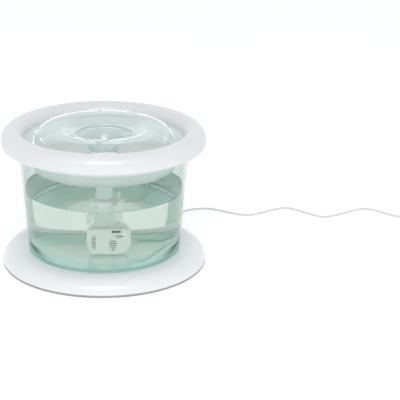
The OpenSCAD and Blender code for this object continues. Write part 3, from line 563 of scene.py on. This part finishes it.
def coil_points():
    """The spare lead: layers wound out, in and out on each other."""
    pts = []
    for i in range(COIL_TURNS * TURN_STEPS + LAST_STEPS + 1):
        phi = i * 360 / TURN_STEPS
        r, z = COIL_OUT, COIL_LOW_Z
        for turn, (a, b) in COIL_STEPS.items():
            if phi > 360 * turn + STEP_FROM:
                r = a + (b - a) * ease((phi - 360 * turn - STEP_FROM) / CHANGE)
        for turn in COIL_RISES:
            z += LAYER * ease((phi - 360 * turn - RISE_FROM) / CHANGE)
        ang = math.radians(phi - 90)
        pts.append((COIL_X + r * math.cos(ang), COIL_Y + r * math.sin(ang), z))
    return pts


def make_lead():
    inner = [q * MM for q in smooth_path(INNER, CURVE_STEPS)]
    # The lead in the tank wears the sheath with painted shade
    o = add_piece("lead_in_tank", tube_mesh("lead_in_tank", inner, LEAD_R * MM),
                  "shaded_lead", "tank_base")
    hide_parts("lead_inner")

    coil = coil_points()
    run = smooth_path(OUTER + coil[:1], CURVE_STEPS)[:-1]
    tail = smooth_path(coil[-1:] + TAIL, CURVE_STEPS)[1:]
    outer = [q * MM for q in run + [Vector(q) for q in coil] + tail]
    o = add_piece("lead_outside", tube_mesh("lead_outside", outer, LEAD_R * MM), "lead",
                  "tank_base")
    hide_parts("lead_run", "lead_coil", "lead_tail")


make_lead()

# ---------------------------------------------------------------- water

WATER_SEGMENTS = 256
# How far the water reaches into the tank's plastic, so that no air shows between them
WATER_LAP = 0.08
FILLET_STEPS = 8
# The fillet's turn, which ends short of upright because the wall leans out
FILLET_TURN = 75
# Heights where the water's side has a ring of points
SIDE_HEIGHTS = (40, 60, 80, 94)
# The surface climbs a little where it meets the wall: distance from the wall, and rise
MENISCUS = ((0.0, 2.2), (0.3, 1.3), (0.9, 0.7), (1.8, 0.3), (3.2, 0.08), (5.0, 0.0))
# Radii where the flat surface has a ring of points
SURFACE_RADII = (60, 25, 0)


def tank_in(z):
    """Inner radius of the tank wall at the height z."""
    lean = (TANK_RIM_R - TANK_FOOT_R) / TANK_H
    return TANK_FOOT_R + (z - TANK_SEAT_Z) * lean - TANK_WALL


def lathe_mesh(name, profile):
    """Revolves a profile of (radius, height) in millimetres, from the Z axis and back to it."""
    bm = bmesh.new()
    rings = []
    for r, z in profile:
        if r:
            rings.append([bm.verts.new((r * MM * math.cos(a), r * MM * math.sin(a), z * MM))
                          for a in around(WATER_SEGMENTS)])
        else:
            rings.append([bm.verts.new((0, 0, z * MM))])
    for a, b in zip(rings, rings[1:]):
        for k in range(WATER_SEGMENTS):
            j = (k + 1) % WATER_SEGMENTS
            if len(a) == 1:
                bm.faces.new((a[0], b[j], b[k]))
            elif len(b) == 1:
                bm.faces.new((a[k], a[j], b[0]))
            else:
                bm.faces.new((a[k], a[j], b[j], b[k]))
    bmesh.ops.recalc_face_normals(bm, faces=bm.faces)
    me = mesh_from(bm, name)
    me.polygons.foreach_set("use_smooth", [True] * len(me.polygons))
    return me


def make_water():
    floor = TANK_FLOOR_Z - WATER_LAP
    profile = [(0, floor), (tank_in(floor) - FLOOR_FILLET, floor)]
    centre_r = tank_in(TANK_FLOOR_Z) - FLOOR_FILLET + WATER_LAP
    for i in range(1, FILLET_STEPS + 1):
        a = math.radians(-90 + FILLET_TURN * i / FILLET_STEPS)
        profile.append((centre_r + FLOOR_FILLET * math.cos(a),
                        floor + FLOOR_FILLET + FLOOR_FILLET * math.sin(a)))
    profile += [(tank_in(z) + WATER_LAP, z) for z in SIDE_HEIGHTS]
    profile += [(tank_in(WATER_Z) + WATER_LAP - d, WATER_Z + rise) for d, rise in MENISCUS]
    profile += [(r, WATER_Z) for r in SURFACE_RADII]
    o = add_piece("water", lathe_mesh("water", profile), "water", "tank_base")
    split_edges(o, WATER_SMOOTH)


make_water()

# ---------------------------------------------------------------- stage

# Light from the room and from the white backdrop behind the object
ROOM, BACKDROP = 0.72, 1.03
# How far up the backdrop goes, in degrees
BACKDROP_TOP = 40
BACKDROP_EDGE = (-0.02, 0.06)
# Below the horizon the backdrop is a lit panel, which only shows through clear pieces: half its
# width in degrees, how far it lies to the right as a share of the way to it, and how much
# darker than the room it is beside it
PANEL = 36
PANEL_RIGHT = 0.1
PANEL_SIDES = -0.4
PANEL_EDGE = (-0.02, 0.04)
# How fast the panel widens to the whole backdrop at the horizon, and how far it has got there
WIDENS = 20
WIDENED = 0.5
PANEL_TONE = (0.97, 0.985, 1.0)
SIDE_TONE = (0.80, 0.99, 0.92)

FLOOR_SIZE = 30
FLOOR_GLOW = 0.24
KEY_AT, KEY_AIM = (0.0, -1.35, 1.55), (0, 0, 0.1)
KEY_SIZE = (1.15, 0.6)
KEY_POWER = 13.5
KEY_TINT = (1.0, 0.99, 0.98)


def make_floor():
    m, nt, p, _ = new_material("studio_floor")
    nt.links.new(tone(nt, noise(nt, 3), (0.93, 0.935, 0.94), (0.95, 0.955, 0.96)),
                 p.inputs["Base Color"])
    p.inputs["Roughness"].default_value = 0.7
    p.inputs["Specular IOR Level"].default_value = 0.1
    p.inputs["Emission Color"].default_value = (1, 1, 1, 1)
    p.inputs["Emission Strength"].default_value = FLOOR_GLOW
    bpy.ops.mesh.primitive_plane_add(size=FLOOR_SIZE, location=(0, 0, 0))
    floor = bpy.context.object
    floor.name = "studio_floor"
    floor.data.materials.append(m)
    # Through the tank the panel shows and not the floor
    floor.visible_transmission = False


def make_surround():
    world = bpy.data.worlds.new("studio")
    bpy.context.scene.world = world
    world.use_nodes = True
    nt = world.node_tree
    nt.nodes.clear()
    x, y, z = split_axes(nt, place(nt, "Generated"))

    under_top = maths(nt, "MULTIPLY_ADD", y, math.tan(math.radians(BACKDROP_TOP)),
                      maths(nt, "MULTIPLY", z, -1.0))
    behind = remap(nt, under_top, *BACKDROP_EDGE, 0, 1)
    aside = maths(nt, "ABSOLUTE", maths(nt, "SUBTRACT", x, PANEL_RIGHT))
    inside = maths(nt, "MULTIPLY_ADD", aside, -1 / math.tan(math.radians(PANEL)), y)
    above = maths(nt, "MULTIPLY_ADD", z, WIDENS, WIDENED)
    panel = remap(nt, maths(nt, "MAXIMUM", inside, above), *PANEL_EDGE, PANEL_SIDES, 1)
    lit = maths(nt, "MULTIPLY", behind, panel)

    out = nt.nodes.new("ShaderNodeOutputWorld")
    back = nt.nodes.new("ShaderNodeBackground")
    strength = maths(nt, "MULTIPLY_ADD", lit, BACKDROP - ROOM, ROOM)
    nt.links.new(strength, back.inputs["Strength"])
    # Beside the panel the room is greener, as it is seen through the tank's thick edges
    nt.links.new(tone(nt, panel, SIDE_TONE, PANEL_TONE), back.inputs["Color"])
    nt.links.new(back.outputs[0], out.inputs[0])


def make_key():
    data = bpy.data.lights.new("key", "AREA")
    data.shape = "RECTANGLE"
    data.size, data.size_y = KEY_SIZE
    data.energy = KEY_POWER
    data.color = KEY_TINT
    o = bpy.data.objects.new("key", data)
    bpy.context.scene.collection.objects.link(o)
    o.location = KEY_AT
    aim = Vector(KEY_AIM) - Vector(KEY_AT)
    o.rotation_euler = aim.to_track_quat("-Z", "Y").to_euler()


make_floor()
make_surround()
make_key()

bpy.context.scene.view_settings.view_transform = "Standard"
# Enough turns of the light for the walls, the water and the pieces behind each other
cycles = bpy.context.scene.cycles
cycles.max_bounces = 24
cycles.transmission_bounces = 24
cycles.transparent_max_bounces = 24
